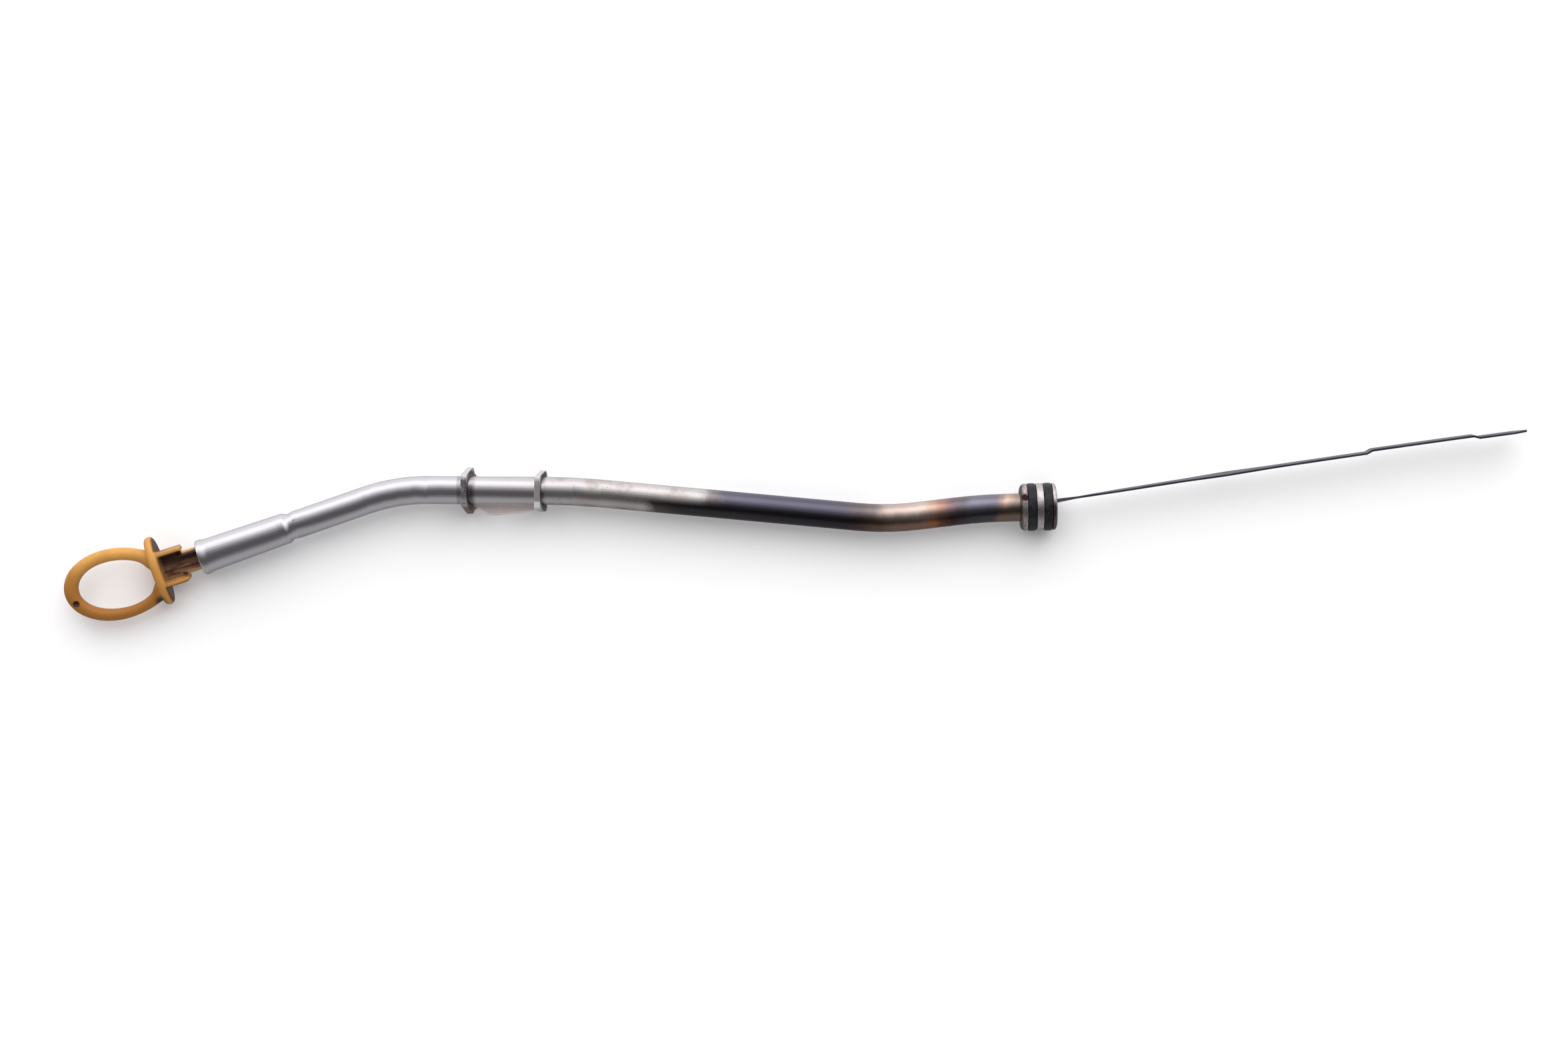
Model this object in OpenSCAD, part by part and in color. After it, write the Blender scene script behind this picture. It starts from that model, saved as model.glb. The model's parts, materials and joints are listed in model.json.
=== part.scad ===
// Engine oil dipstick: a gauge with a moulded ring handle, lying in its bent steel guide tube.
// The tube carries a folded bracket and, at its engine end, a turned collar with two sealing rings.
// Origin: centre of the bracket's bolt hole on its seating face. +X runs along the tube to the engine end.

/* [Guide tube] */
// Outer diameter of the tube
tube_od = 9.6; // [9:0.1:10.4]
// Wall of the tube and of its bell
tube_wall = 0.9; // [0.7:0.1:1.1]
// Straight length from the bracket's middle to the upper bend
bracket_to_upper_bend = 26; // [18:1:60]
// Angle of the upper bend
upper_bend_angle = 19.6; // [8:0.2:35]
// Radius of the upper bend at the tube's middle
upper_bend_radius = 64; // [30:1:120]
// Straight length from the upper bend to the bell
bell_run = 27.7; // [10:0.1:80]
// Straight length from the bracket's middle to the middle bend
bracket_to_middle_bend = 14; // [14:1:50]
// Angle of the middle bend
middle_bend_angle = 4.8; // [2:0.1:20]
// Radius of the middle bend
middle_bend_radius = 228; // [80:1:300]
// Straight length from the middle bend to the dip
lower_run = 88.6; // [30:0.1:200]
// Angle of the dip
dip_angle = 12.1; // [4:0.1:25]
// Radius of the dip
dip_radius = 97; // [60:1:200]
// Straight length from the dip to the last bend
dip_to_last_bend = 13.1; // [5:0.1:40]
// Angle of the last bend
last_bend_angle = 5.3; // [2:0.1:12]
// Radius of the last bend
last_bend_radius = 180; // [80:1:260]
// Bare straight length from the last bend to the collar
collar_run = 5.5; // [2:0.1:40]

/* [Bell] */
// Length of the bell from its root to the mouth
bell_len = 32.4; // [26:0.1:60]
// Outer diameter of the bell at its root
bell_root_od = 10.7; // [10.5:0.1:12]
// Outer diameter of the bell behind the lip
bell_mouth_od = 11.6; // [11.1:0.1:13]
// Length of the swaged step between tube and bell
bell_step = 3; // [1.5:0.1:5]
// How far the lip stands out round the mouth
lip_flare = 0.35; // [0.1:0.05:0.8]
// Length of the flared lip
lip_len = 3; // [1.5:0.1:5]

/* [End collar] */
// Outer diameter of the collar
collar_od = 16.2; // [15:0.1:18]
// Length of the land behind the first sealing ring, with its rounded heel
heel_land = 2.3; // [2.1:0.1:8]
// Length of the land between the rings
middle_land = 2.3; // [1.5:0.1:6]
// Length of the land at the nose, with its rounded end
nose_land = 1.35; // [1.35:0.05:6]
// Rounding at the heel
heel_round = 1.8; // [0.5:0.1:2]
// Rounding at the nose
nose_round = 1.2; // [0.5:0.1:1.3]
// Length of the shoulder that stops the tube's end
collar_stop = 1; // [0.6:0.1:1.2]

/* [Sealing rings] */
// Length of the collar that a ring covers
ring_w = 3.1; // [2.2:0.1:4]
// Height of a ring's section
ring_h = 2.4; // [2.1:0.1:2.6]
// How far the rings stand proud of the collar
ring_proud = 0.1; // [0.05:0.05:0.2]
// Rounding of a ring's section
ring_round = 0.8; // [0.4:0.1:1]
// Clearance of a ring in its groove
ring_gap = 0.05; // [0.02:0.01:0.1]

/* [Bracket] */
// Thickness of the sheet
sheet_t = 2; // [1:0.1:2.5]
// Distance between the middles of the two ears along the tube
ear_spacing = 25.1; // [20:0.1:28]
// Lean of the ears towards the bell, from square to the web
ear_lean = 8; // [0:0.5:12]
// Height of the ears above the seating face
ear_h = 14.9; // [14:0.1:20]
// Inner radius of the folds
fold_r = 1.2; // [0.6:0.1:2]
// Height at which the ears are widest
ear_belly_h = 4.6; // [4.2:0.1:7]
// Half width of the bell-side ear at its belly
upper_ear_half = 8.3; // [7.2:0.1:12]
// Half width of the bell-side ear at its tip
upper_tip_half = 5.1; // [3:0.1:7]
// Half width of the engine-side ear at its belly
lower_ear_half = 7.2; // [6.6:0.1:12]
// Half width of the engine-side ear at its tip
lower_tip_half = 5.6; // [3:0.1:6]
// How far the tip of the engine-side ear is set towards the near side
lower_tip_shift = 0.8; // [0:0.1:1]
// Rounding of the ears' corners at their tips
ear_round = 0.9; // [0.2:0.1:2]
// Rounding of the ears at their belly
belly_round = 2.4; // [0.5:0.1:2.6]
// Height above the seating face at which the ears spread out from their folds
notch_h = 1.8; // [1:0.1:2.4]
// Reach of the web beside the tube's axis on the far side
web_far = 5; // [4.6:0.1:8]
// Largest reach of the web on the near side
web_near = 8.3; // [7:0.1:12]
// Place of that largest reach along the tube
web_belly_x = -5; // [-7:0.5:6]
// Rounding of the web's edge at that reach
web_round = 6; // [1:0.5:10]
// Reach of the web on the near side at the engine-side ear
web_near_end = 6.6; // [5:0.1:7]
// Diameter of the bolt hole
bolt_hole_d = 6.6; // [4.5:0.1:7]
// Half width of the folds between their relief notches, on the near side
fold_near = 6.2; // [4.6:0.1:6.4]
// Clearance of the ears and the collar on the tube
braze_gap = 0.05; // [0.02:0.01:0.1]

/* [Gauge handle] */
// Distance from the bell's mouth to the flange, as the gauge is seated
gauge_out = 13.2; // [10:0.1:20]
// Turn of the handle about the stem
handle_roll = 10; // [0:1:15]
// Lean of the handle in the bell, up from the near side, within the stem's clearance
handle_tilt = 1.2; // [0:0.1:1.6]
// Half length of the ring, to the middle of its bar
ring_half_len = 16.2; // [12:0.1:20]
// Half width of the ring, to the middle of its bar
ring_half_width = 10.4; // [8:0.1:14]
// Slant of the ring from the stem
ring_slant = 8; // [0:0.5:15]
// How much fuller the ring is towards its far end, as a share of its width
ring_fullness = 0.05; // [0:0.01:0.1]
// Thickness of the ring's bar at its sides
bar_d = 4.4; // [3:0.1:5]
// Thickness of the ring's bar at its two ends
bar_end_d = 5.1; // [3:0.1:6]
// How much thinner the bar is on the near side, where it runs up to the flange
bar_slim = 0.6; // [0:0.1:1]
// How far the ring's hole is sunk into the flange's face
ring_sink = 0.5; // [0.1:0.1:1.2]
// How much the bar thickens where it runs into the flange
bar_flare = 0.8; // [0:0.1:1.2]
// Diameter of the nick in the ring's bar
nick_d = 2.2; // [1:0.1:2.6]
// Length of the oval flange
flange_len = 24.6; // [18:0.1:32]
// Width of the oval flange
flange_w = 14; // [12.6:0.1:18]
// Thickness of the flange
flange_t = 3.4; // [2.6:0.1:5]
// Length of the wide part of the stem, which stops at the mouth
stop_len = 7.7; // [4:0.1:9]
// Width of the wide part of the stem
stop_w = 7; // [6:0.1:10]
// How far the wide part stands out over the mouth's bore, on each side
stop_over = 1.2; // [0.4:0.1:2]
// Chamfer at the end of the wide part
stop_chamfer = 0.5; // [0.2:0.1:1.4]
// Thickness of the stem's rails
rail_t = 1.5; // [0.8:0.1:2]
// Thickness of the stem's web
stem_web_t = 2; // [1:0.1:3]
// Width of the rib along the stem's web
rib_w = 2.2; // [1:0.1:3]
// Height of that rib over the web
rib_h = 0.8; // [0.3:0.1:1.2]
// Width of the stem's rails inside the bell
rail_w = 5.4; // [4:0.1:6]
// Clearance of the stem in the narrowest bore of the bell
stem_gap = 0.45; // [0.2:0.05:0.8]
// Length of the stem inside the bell
stem_in = 22; // [20:0.5:24]
// Length of the round end of the stem
boss_len = 13; // [12:0.5:16]

/* [Stem seal] */
// Thickness of the seal's cord
seal_cord = 1.6; // [1:0.1:1.8]
// Distance from the round end's start to the seal's groove
seal_back = 1.5; // [1:0.1:2.5]
// Clearance of the seal in its groove and in the bell
seal_gap = 0.05; // [0.02:0.01:0.1]

/* [Gauge blade] */
// Width of the strip
blade_w = 5; // [3:0.1:5.2]
// Thickness of the strip
blade_t = 0.8; // [0.5:0.05:1]
// Bevel of the strip's edges
blade_bevel = 0.15; // [0.05:0.05:0.2]
// Length of the strip moulded into the stem
blade_grip = 7; // [4:0.1:8]
// Clearance of the strip in the stem
grip_gap = 0.03; // [0.01:0.01:0.05]
// Length of the strip beyond the collar
blade_out = 163.5; // [120:0.1:260]
// How far the strip sags from the tube's middle in the dip
blade_sag = 1.4; // [0:0.1:2]
// How far the strip lies from the tube's middle at the collar's nose
blade_lift = 1.85; // [0:0.05:2]
// Angle through which the strip curves back beyond the collar
blade_curl = 1.8; // [0.4:0.1:10]
// Height of the offset that marks the oil level
jog = 0.8; // [0:0.1:1.5]
// Distance from the tip to the lower end of the oil level offset
jog_from_tip = 18.7; // [12:0.1:40]
// Length of the offset that marks the oil level
jog_len = 37; // [15:0.1:60]
// Length of the strip's point
tip_len = 4.5; // [2:0.1:10]
// Largest twist of the strip beyond the collar
blade_twist = 12; // [0:1:20]
// Twist of the strip at the collar's nose
nose_twist = -8; // [-8:1:0]

/* [Hidden] */
$fn = 64;

tube_r = tube_od / 2;
bore_r = tube_r - tube_wall;
groove_w = ring_w + 2 * ring_gap;
collar_len = heel_land + groove_w + middle_land + groove_w + nose_land;
tube_in_collar = collar_len - collar_stop;
ring_r = collar_od / 2 + ring_proud;
// the tube's middle lies level, at the height of the sealing rings' radius over the seating face
axis_h = ring_r;

// A pose is [x, y, heading]; a leg is [straight length, bend radius, bend angle], left turns positive.
function go(p, d) = [p.x + d * cos(p.z), p.y + d * sin(p.z), p.z];
function turn(p, r, a) =
    let (s = sign(a))
    [p.x + s * r * (sin(p.z + a) - sin(p.z)), p.y - s * r * (cos(p.z + a) - cos(p.z)), p.z + a];
function leg_end(p, leg) = turn(go(p, leg[0]), leg[1], leg[2]);
function walk_end(p, legs, n, i = 0) = i == n ? p : walk_end(leg_end(p, legs[i]), legs, n, i + 1);
function about(p) = [p.x, p.y, p.z + 180];
function beside(p, d) = [p.x - d * sin(p.z), p.y + d * cos(p.z)];
function leg_len(leg) = leg[0] + leg[1] * abs(leg[2]) * PI / 180;
function walked(legs, n) = n == 0 ? 0 : leg_len(legs[n - 1]) + walked(legs, n - 1);
// stations along legs, each [pose, distance walked]; a bend has one every few degrees
bend_step = 2.5;
function stations(p, legs, from = 0) = [
    for (i = [0 : len(legs) - 1])
        let (
            leg = legs[i],
            a = walk_end(p, legs, i),
            b = go(a, leg[0]),
            at = from + walked(legs, i),
            n = leg[2] == 0 ? 0 : ceil(abs(leg[2]) / bend_step)
        )
        each concat(
            leg[0] > 0 ? [[a, at]] : [],
            [for (k = [0 : n - 1])
                [turn(b, leg[1], leg[2] * k / n), at + leg[0] + (leg_len(leg) - leg[0]) * k / n]]
        )
];

// the bell's place is walked from the bracket's middle, and the whole run is walked back from the bell
bell_root = go(leg_end([0, 0, 180], [bracket_to_upper_bend, upper_bend_radius, upper_bend_angle]), bell_run);
mouth = go(bell_root, bell_len);
run_legs = [
    [bell_run, upper_bend_radius, -upper_bend_angle],
    [bracket_to_upper_bend + bracket_to_middle_bend, middle_bend_radius, -middle_bend_angle],
    [lower_run, dip_radius, dip_angle],
    [dip_to_last_bend, last_bend_radius, -last_bend_angle],
];
last_bend_end = walk_end(about(bell_root), run_legs, len(run_legs));
collar_heel = go(last_bend_end, collar_run);
collar_nose = go(collar_heel, collar_len);

// the bore of the bell at a depth behind its mouth
function bell_bore(depth) =
    let (
        root = bell_root_od / 2 - tube_wall,
        lip = bell_mouth_od / 2 - tube_wall,
        taper = bell_len - lip_len - bell_step
    )
    lip + (root - lip) * min(1, max(0, (depth - lip_len) / taper));
stem_r = bell_bore(bell_len) - stem_gap;
stop_half = bell_bore(0) + stop_over;
boss_start = stem_in - boss_len;
seal_depth = boss_start + seal_back + seal_cord / 2;
seal_r = bell_bore(seal_depth + seal_cord / 2) - seal_gap;

// Points of an arc, and an outline with its corners rounded
function arc(c, r, a, b, n) = [for (i = [0 : n]) c + r * [cos(a + (b - a) * i / n), sin(a + (b - a) * i / n)]];
function unit(v) = v / norm(v);
function corner(p, before, after, r, n) =
    let (
        u = unit(before - p),
        v = unit(after - p),
        half = acos(u * v) / 2,
        c = p + unit(u + v) * r / sin(half),
        s = p + u * r / tan(half) - c,
        e = p + v * r / tan(half) - c,
        a = atan2(s.y, s.x),
        d = (atan2(e.y, e.x) - a + 540) % 360 - 180
    )
    arc(c, r, a, a + d, n);
function rounded(outline, r, n) =
    let (m = len(outline))
    [for (i = [0 : m - 1]) each corner(outline[i], outline[(i + m - 1) % m], outline[(i + 1) % m], r, n)];

// A skin over sections that have the same number of points, open with two ends or closed in a loop
module skin(sections, loop = false) {
    n = len(sections[0]);
    m = len(sections);
    sides = [
        for (i = [0 : (loop ? m : m - 1) - 1], j = [0 : n - 1])
            let (a = i * n + j, b = i * n + (j + 1) % n, c = (i + 1) % m * n + j, d = (i + 1) % m * n + (j + 1) % n)
            each [[a, c, d], [a, d, b]]
    ];
    ends = loop ? [] : [[for (j = [0 : n - 1]) j], [for (j = [n - 1 : -1 : 0]) (m - 1) * n + j]];
    polyhedron([for (s = sections) each s], concat(sides, ends));
}

// Places its children at a pose on the tube's middle line, with +X along the heading
module at(p) {
    translate([p.x, p.y, axis_h]) rotate([0, 0, p.z]) children();
}

// Turns a solid of revolution from +Z to +X
module along_x() {
    rotate([0, 90, 0]) children();
}

// The tube's wall at its stations from the mouth to the stop in the collar: [pose, outer radius, bore radius]
tube_sides = 36;
lip_r = bell_mouth_od / 2 + lip_flare;
lip_wall = tube_wall / 2;
bell_outline = concat(
    [for (a = [15, 45, 90]) [lip_wall * (1 - cos(a)), lip_r - lip_wall * (1 - sin(a)), lip_wall * (1 + sin(a))]],
    [
        [lip_len / 2, lip_r, tube_wall],
        [lip_len * 0.8, bell_mouth_od / 2 + lip_flare * 0.2, tube_wall],
        [lip_len, bell_mouth_od / 2, tube_wall],
    ],
    [for (k = [0 : 4])
        [
            bell_len - bell_step + bell_step * k / 5,
            tube_r + (bell_root_od / 2 - tube_r) * (1 + cos(180 * k / 5)) / 2,
            tube_wall,
        ]]
);
tube_wall_at = concat(
    [for (b = bell_outline) [go(about(mouth), b[0]), b[1], b[1] - b[2]]],
    [for (s = stations(about(bell_root), run_legs)) [s[0], tube_r, bore_r]],
    [for (p = [last_bend_end, go(collar_heel, tube_in_collar)]) [p, tube_r, bore_r]]
);
function round_section(p, r) = [
    for (k = [0 : tube_sides - 1])
        let (a = 360 * k / tube_sides, side = beside(p, r * cos(a))) [side.x, side.y, axis_h + r * sin(a)]
];

// One wall with its bore: out along the outside from mouth to stop, and back along the bore
module guide_tube() {
    n = len(tube_wall_at);
    color([0.66, 0.64, 0.66]) skin(
        concat(
            [for (w = tube_wall_at) round_section(w[0], w[1])],
            [for (i = [n - 1 : -1 : 0]) round_section(tube_wall_at[i][0], tube_wall_at[i][2])]
        ),
        loop = true
    );
}

// The collar's outline: radius and distance from the heel
module collar_section() {
    r = collar_od / 2;
    floor_r = ring_r - ring_h - ring_gap;
    first = heel_land;
    second = heel_land + groove_w + middle_land;
    heel = arc([r - heel_round, heel_round], heel_round, -90, 0, 6);
    nose = arc([r - nose_round, collar_len - nose_round], nose_round, 0, 90, 6);
    seat_r = tube_r + braze_gap;
    polygon(concat(
        [[seat_r, 0]],
        heel,
        [for (g = [first, second]) each [[r, g], [floor_r, g], [floor_r, g + groove_w], [r, g + groove_w]]],
        nose,
        [[bore_r, collar_len], [bore_r, tube_in_collar], [seat_r, tube_in_collar]]
    ));
}

module end_collar() {
    color([0.45, 0.41, 0.38]) at(collar_heel) along_x() rotate_extrude() collar_section();
}

// A sealing ring in the groove that starts at this distance from the heel
module sealing_ring(groove) {
    low = ring_r - ring_h;
    section = [[low, 0], [ring_r, 0], [ring_r, ring_w], [low, ring_w]];
    color([0.09, 0.09, 0.1])
        at(go(collar_heel, groove + ring_gap))
            along_x() rotate_extrude() polygon(rounded(section, ring_round, 6));
}

module o_ring_upper() {
    sealing_ring(heel_land);
}

module o_ring_lower() {
    sealing_ring(heel_land + groove_w + middle_land);
}

// Where the middle of the folded sheet would meet at each corner, and the length of an ear above it
fold_mid_r = fold_r + sheet_t / 2;
fold_shift = (axis_h - sheet_t / 2) * tan(ear_lean);
upper_corner_x = fold_shift - ear_spacing / 2;
lower_corner_x = fold_shift + ear_spacing / 2;
upper_fold = 90 - ear_lean;
lower_fold = 90 + ear_lean;
upper_set_back = fold_mid_r * tan(upper_fold / 2);
lower_set_back = fold_mid_r * tan(lower_fold / 2);
ear_len = (ear_h - sheet_t / 2) / cos(ear_lean);
web_start = upper_corner_x + upper_set_back;
web_end = lower_corner_x - lower_set_back;

// A folded ear: its bend out of the web and its flat, cut to the outline that is seen along the tube.
// Reaches are [near side, far side]: the outline is narrow at the fold, widest at its belly.
module ear_outline(belly, tip) {
    polygon([[-fold_near, 0], [web_far, 0], [web_far, ear_belly_h], [-fold_near, ear_belly_h]]);
    points = [
        [web_far, notch_h],
        [belly[1], ear_belly_h],
        [tip[1], ear_h],
        [-tip[0], ear_h],
        [-belly[0], ear_belly_h],
        [-fold_near, notch_h],
    ];
    radii = [0, belly_round, ear_round, ear_round, belly_round, 0];
    polygon([for (i = [0 : len(points) - 1])
        each radii[i] == 0 ? [points[i]] : corner(points[i], points[i - 1], points[i + 1], radii[i], 6)]);
}

module ear(start, side, fold, set_back, belly, tip) {
    leg = [0, fold_mid_r, side * fold];
    fold_end = leg_end(start, leg);
    path = concat([for (s = stations(start, [leg])) s[0]], [fold_end, go(fold_end, ear_len - set_back)]);
    sheet = concat(
        [for (p = path) beside(p, sheet_t / 2)],
        [for (i = [len(path) - 1 : -1 : 0]) beside(path[i], -sheet_t / 2)]
    );
    intersection() {
        rotate([90, 0, 0]) linear_extrude(4 * belly[0], center = true) polygon(sheet);
        translate([start.x, 0, 0])
            rotate([90, 0, 90]) linear_extrude(2 * ear_len, center = true) ear_outline(belly, tip);
    }
}

module bracket_web() {
    near_start = [web_start, -fold_near];
    near_end = [web_end, -web_near_end];
    linear_extrude(sheet_t)
        difference() {
            polygon(concat(
                [near_start],
                corner([web_belly_x, -web_near], near_start, near_end, web_round, 6),
                [near_end, [web_end, web_far], [web_start, web_far]]
            ));
            circle(d = bolt_hole_d);
        }
}

module mounting_bracket() {
    color([0.55, 0.52, 0.51]) difference() {
        union() {
            bracket_web();
            ear(
                [web_start, sheet_t / 2, 180], -1, upper_fold, upper_set_back,
                [upper_ear_half, upper_ear_half], [upper_tip_half, upper_tip_half]
            );
            ear(
                [web_end, sheet_t / 2, 0], 1, lower_fold, lower_set_back,
                [lower_ear_half, lower_ear_half],
                [lower_tip_half + lower_tip_shift, lower_tip_half - lower_tip_shift]
            );
        }
        translate([0, 0, axis_h])
            along_x() cylinder(h = 2 * ear_spacing, r = tube_r + braze_gap, center = true);
    }
}

// The ring of the handle, in the flange's frame: +X towards the stem
ring_sides = 16;
ring_stations = 56;
ring_reach = norm([ring_half_len * cos(ring_slant), ring_half_width * sin(ring_slant)]);
ring_centre = ring_reach - bar_end_d / 2 + flange_t / 2 - ring_sink;
flare_run = 3.5;
slim_at = 112;
nick_at = 22;
module handle_ring() {
    function middle(t) = [ring_half_len * cos(t), ring_half_width * sin(t) * (1 + ring_fullness * cos(t))];
    // distance of the bar's middle from the flange's face
    function before_flange(t) =
        let (p = middle(t)) ring_centre + p.x * cos(ring_slant) + p.y * sin(ring_slant) - flange_t / 2;
    function flare(t) = bar_flare * pow(1 - min(1, max(0, before_flange(t) / flare_run)), 2);
    function slim(t) = bar_slim * pow(max(0, cos(t - slim_at)), 8);
    function bar_r(t) = (bar_d + (bar_end_d - bar_d) * pow(cos(t), 4) - slim(t)) / 2 + flare(t);
    function station(t) =
        let (
            p = middle(t),
            ahead = middle(t + 1) - middle(t - 1),
            heading = atan2(ahead.y, ahead.x),
            r = bar_r(t)
        )
        [for (k = [0 : ring_sides - 1])
            let (a = 360 * k / ring_sides, q = beside([p.x, p.y, heading], r * cos(a))) [q.x, q.y, r * sin(a)]];
    difference() {
        translate([-ring_centre, 0, 0]) rotate([0, 0, 180 - ring_slant]) difference() {
            skin([for (i = [0 : ring_stations - 1]) station(360 * i / ring_stations)], loop = true);
            translate([middle(nick_at).x, middle(nick_at).y, bar_r(nick_at) + nick_d / 8])
                sphere(d = nick_d, $fn = 20);
        }
        translate([0, -flange_len / 2, -bar_end_d]) cube([2 * bar_end_d, flange_len, 2 * bar_end_d]);
    }
}

// The oval flange with a fully rounded rim, square to the stem
flange_sides = 40;
module flange() {
    rim = flange_t / 2;
    skin([
        for (a = [-90 : 22.5 : 90])
            [for (k = [0 : flange_sides - 1])
                let (
                    t = 360 * k / flange_sides,
                    inset = rim * (1 - cos(a))
                )
                [rim * sin(a), (flange_len / 2 - inset) * cos(t), (flange_w / 2 - inset) * sin(t)]]
    ]);
}

// Two rails joined by a web with a rib along it, over a length along +X
module rail_section(length, half, width) {
    for (side = [-1, 1])
        translate([0, side < 0 ? -half : half - rail_t, -width / 2]) cube([length, rail_t, width]);
    translate([0, -half + rail_t / 2, -stem_web_t / 2]) cube([length, 2 * half - rail_t, stem_web_t]);
    translate([0, -rib_w / 2, -stem_web_t / 2 - rib_h]) cube([length, rib_w, stem_web_t + 2 * rib_h]);
}

// The stem, from the flange along +X: a wide part that stops at the mouth, a narrow part and a round end
module stem() {
    mouth_x = flange_t / 2 + gauge_out;
    stop_end = flange_t / 2 + stop_len;
    intersection() {
        rail_section(stop_end, stop_half, stop_w);
        translate([0, 0, -stop_w]) linear_extrude(2 * stop_w) polygon([
            [0, stop_half],
            [stop_end - stop_chamfer, stop_half],
            [stop_end, stop_half - stop_chamfer],
            [stop_end, stop_chamfer - stop_half],
            [stop_end - stop_chamfer, -stop_half],
            [0, -stop_half],
        ]);
    }
    intersection() {
        translate([stop_end - rail_t, 0, 0])
            rail_section(mouth_x + boss_start - stop_end + 2 * rail_t, stem_r, rail_w);
        along_x() cylinder(h = mouth_x + stem_in, r = stem_r);
    }
    translate([mouth_x + boss_start, 0, 0]) difference() {
        along_x() cylinder(h = boss_len, r = stem_r);
        translate([seal_back - seal_gap, 0, 0]) along_x() difference() {
            cylinder(h = seal_cord + 2 * seal_gap, r = 2 * stem_r);
            cylinder(h = seal_cord + 2 * seal_gap, r = seal_r - seal_cord - seal_gap);
        }
    }
}

// Places its children at the stem's seal in the bell, with +X to the engine and the handle's lean
module leaning() {
    at(about(go(mouth, -seal_depth))) rotate([0, 0, -handle_tilt]) children();
}

// The slot that the strip fills in the stem's end, in line with the tube however the handle lies
module grip_slot() {
    across = blade_t + 2 * grip_gap;
    high = blade_w + 2 * grip_gap;
    at(about(blade_start)) translate([0, -across / 2, -high / 2]) cube([blade_grip + boss_len, across, high]);
}

module handle() {
    color([0.84, 0.62, 0.33]) difference() {
        leaning() translate([-flange_t / 2 - gauge_out - seal_depth, 0, 0]) rotate([handle_roll, 0, 0]) {
            handle_ring();
            flange();
            stem();
        }
        grip_slot();
    }
}

module stem_seal() {
    color([0.1, 0.1, 0.1])
        leaning() along_x() rotate_extrude() translate([seal_r - seal_cord / 2, 0]) circle(d = seal_cord);
}

// The strip's route in the tube: the tube's own legs, from inside the stem to the collar's nose
blade_start = go(mouth, -(stem_in - blade_grip));
inner_legs = [
    for (i = [0 : len(run_legs) - 1])
        let (leg = run_legs[i])
        [leg[0] + (i == 0 ? bell_len - (stem_in - blade_grip) : 0), leg[1], leg[2]]
];
nose_run = collar_run + collar_len;
nose_steps = 6;
nose_at = walked(inner_legs, len(inner_legs)) + nose_run;
dip_end_at = walked(inner_legs, 3);
middle_end_at = walked(inner_legs, 2);
lift_run = nose_at - dip_end_at;
// distance of the strip from the tube's middle: none to the middle bend, down to the dip, up to the nose
function strip_offset(s) =
    s < middle_end_at ? 0
    : s < dip_end_at ? -blade_sag * (1 - cos(180 * (s - middle_end_at) / (dip_end_at - middle_end_at))) / 2
    : -blade_sag + (blade_sag + blade_lift) * pow((s - dip_end_at) / lift_run, 2);
nose_slope = atan(2 * (blade_sag + blade_lift) / lift_run);

// beyond the collar the strip leaves at its own angle, curves back, and has the oil level offset and a twist
outer_steps = 44;
outer_start = [for (q = [beside(collar_nose, blade_lift)]) [q.x, q.y, collar_nose.z + nose_slope]][0];
outer_radius = blade_out / (blade_curl * PI / 180);
// width of the strip left at its point, as a share of the whole
tip_share = 0.12;
jog_ramp = 2;
jog_end = blade_out - jog_from_tip;
jog_start = jog_end - jog_len;
function jog_offset(s) =
    lookup(s, [[jog_start, 0], [jog_start + jog_ramp, jog], [jog_end, jog], [jog_end + jog_ramp, 0]]);
function outer_twist(s) =
    lookup(s / blade_out, [[0, nose_twist], [0.05, 0], [0.14, blade_twist * 0.4], [0.27, blade_twist * 0.5],
        [0.36, blade_twist], [0.46, blade_twist * 0.5], [1, blade_twist * 0.5]]);
outer_marks = [jog_start, jog_start + jog_ramp, jog_end, jog_end + jog_ramp, blade_out - tip_len];
// distances beyond the nose: even steps, without those close to a mark, and the marks
outer_at = let (
    even = [for (i = [1 : outer_steps]) blade_out * i / outer_steps],
    clear = [for (s = even) if (min([for (m = outer_marks) abs(s - m)]) > jog_ramp) s]
) sorted(concat(clear, outer_marks));
function sorted(v) =
    len(v) <= 1 ? v
    : concat(
        sorted([for (x = v) if (x < v[floor(len(v) / 2)]) x]),
        [v[floor(len(v) / 2)]],
        sorted([for (x = v) if (x > v[floor(len(v) / 2)]) x])
    );

// The strip's section at a pose: a flat bar with bevelled edges, twisted, narrowed towards the point
function strip_section(p, offset, twist, narrow) =
    let (
        w = blade_w / 2 * narrow,
        t = blade_t / 2,
        b = min(blade_bevel, w / 2),
        flat = [[t, w - b], [t - b, w], [-t + b, w], [-t, w - b], [-t, -w + b], [-t + b, -w], [t - b, -w], [t, -w + b]]
    )
    [for (q = flat)
        let (
            across = q.x * cos(twist) - q.y * sin(twist),
            up = q.x * sin(twist) + q.y * cos(twist),
            side = beside(p, offset + across)
        )
        [side.x, side.y, axis_h + up]];

module gauge_blade() {
    inside = concat(
        stations(about(blade_start), inner_legs),
        [for (d = [0 : nose_run / nose_steps : nose_run * (1 - 0.5 / nose_steps)])
            [go(last_bend_end, d), nose_at - nose_run + d]]
    );
    function inner_twist(s) = lookup(s, [[dip_end_at, 0], [nose_at, nose_twist]]);
    color([0.36, 0.33, 0.36]) skin(concat(
        [for (s = inside) strip_section(s[0], strip_offset(s[1]), inner_twist(s[1]), 1)],
        [strip_section(outer_start, 0, nose_twist, 1)],
        [for (s = outer_at)
            strip_section(
                turn(outer_start, outer_radius, -blade_curl * s / blade_out),
                jog_offset(s), outer_twist(s),
                lookup(s, [[blade_out - tip_len, 1], [blade_out, tip_share]])
            )]
    ));
}

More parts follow.
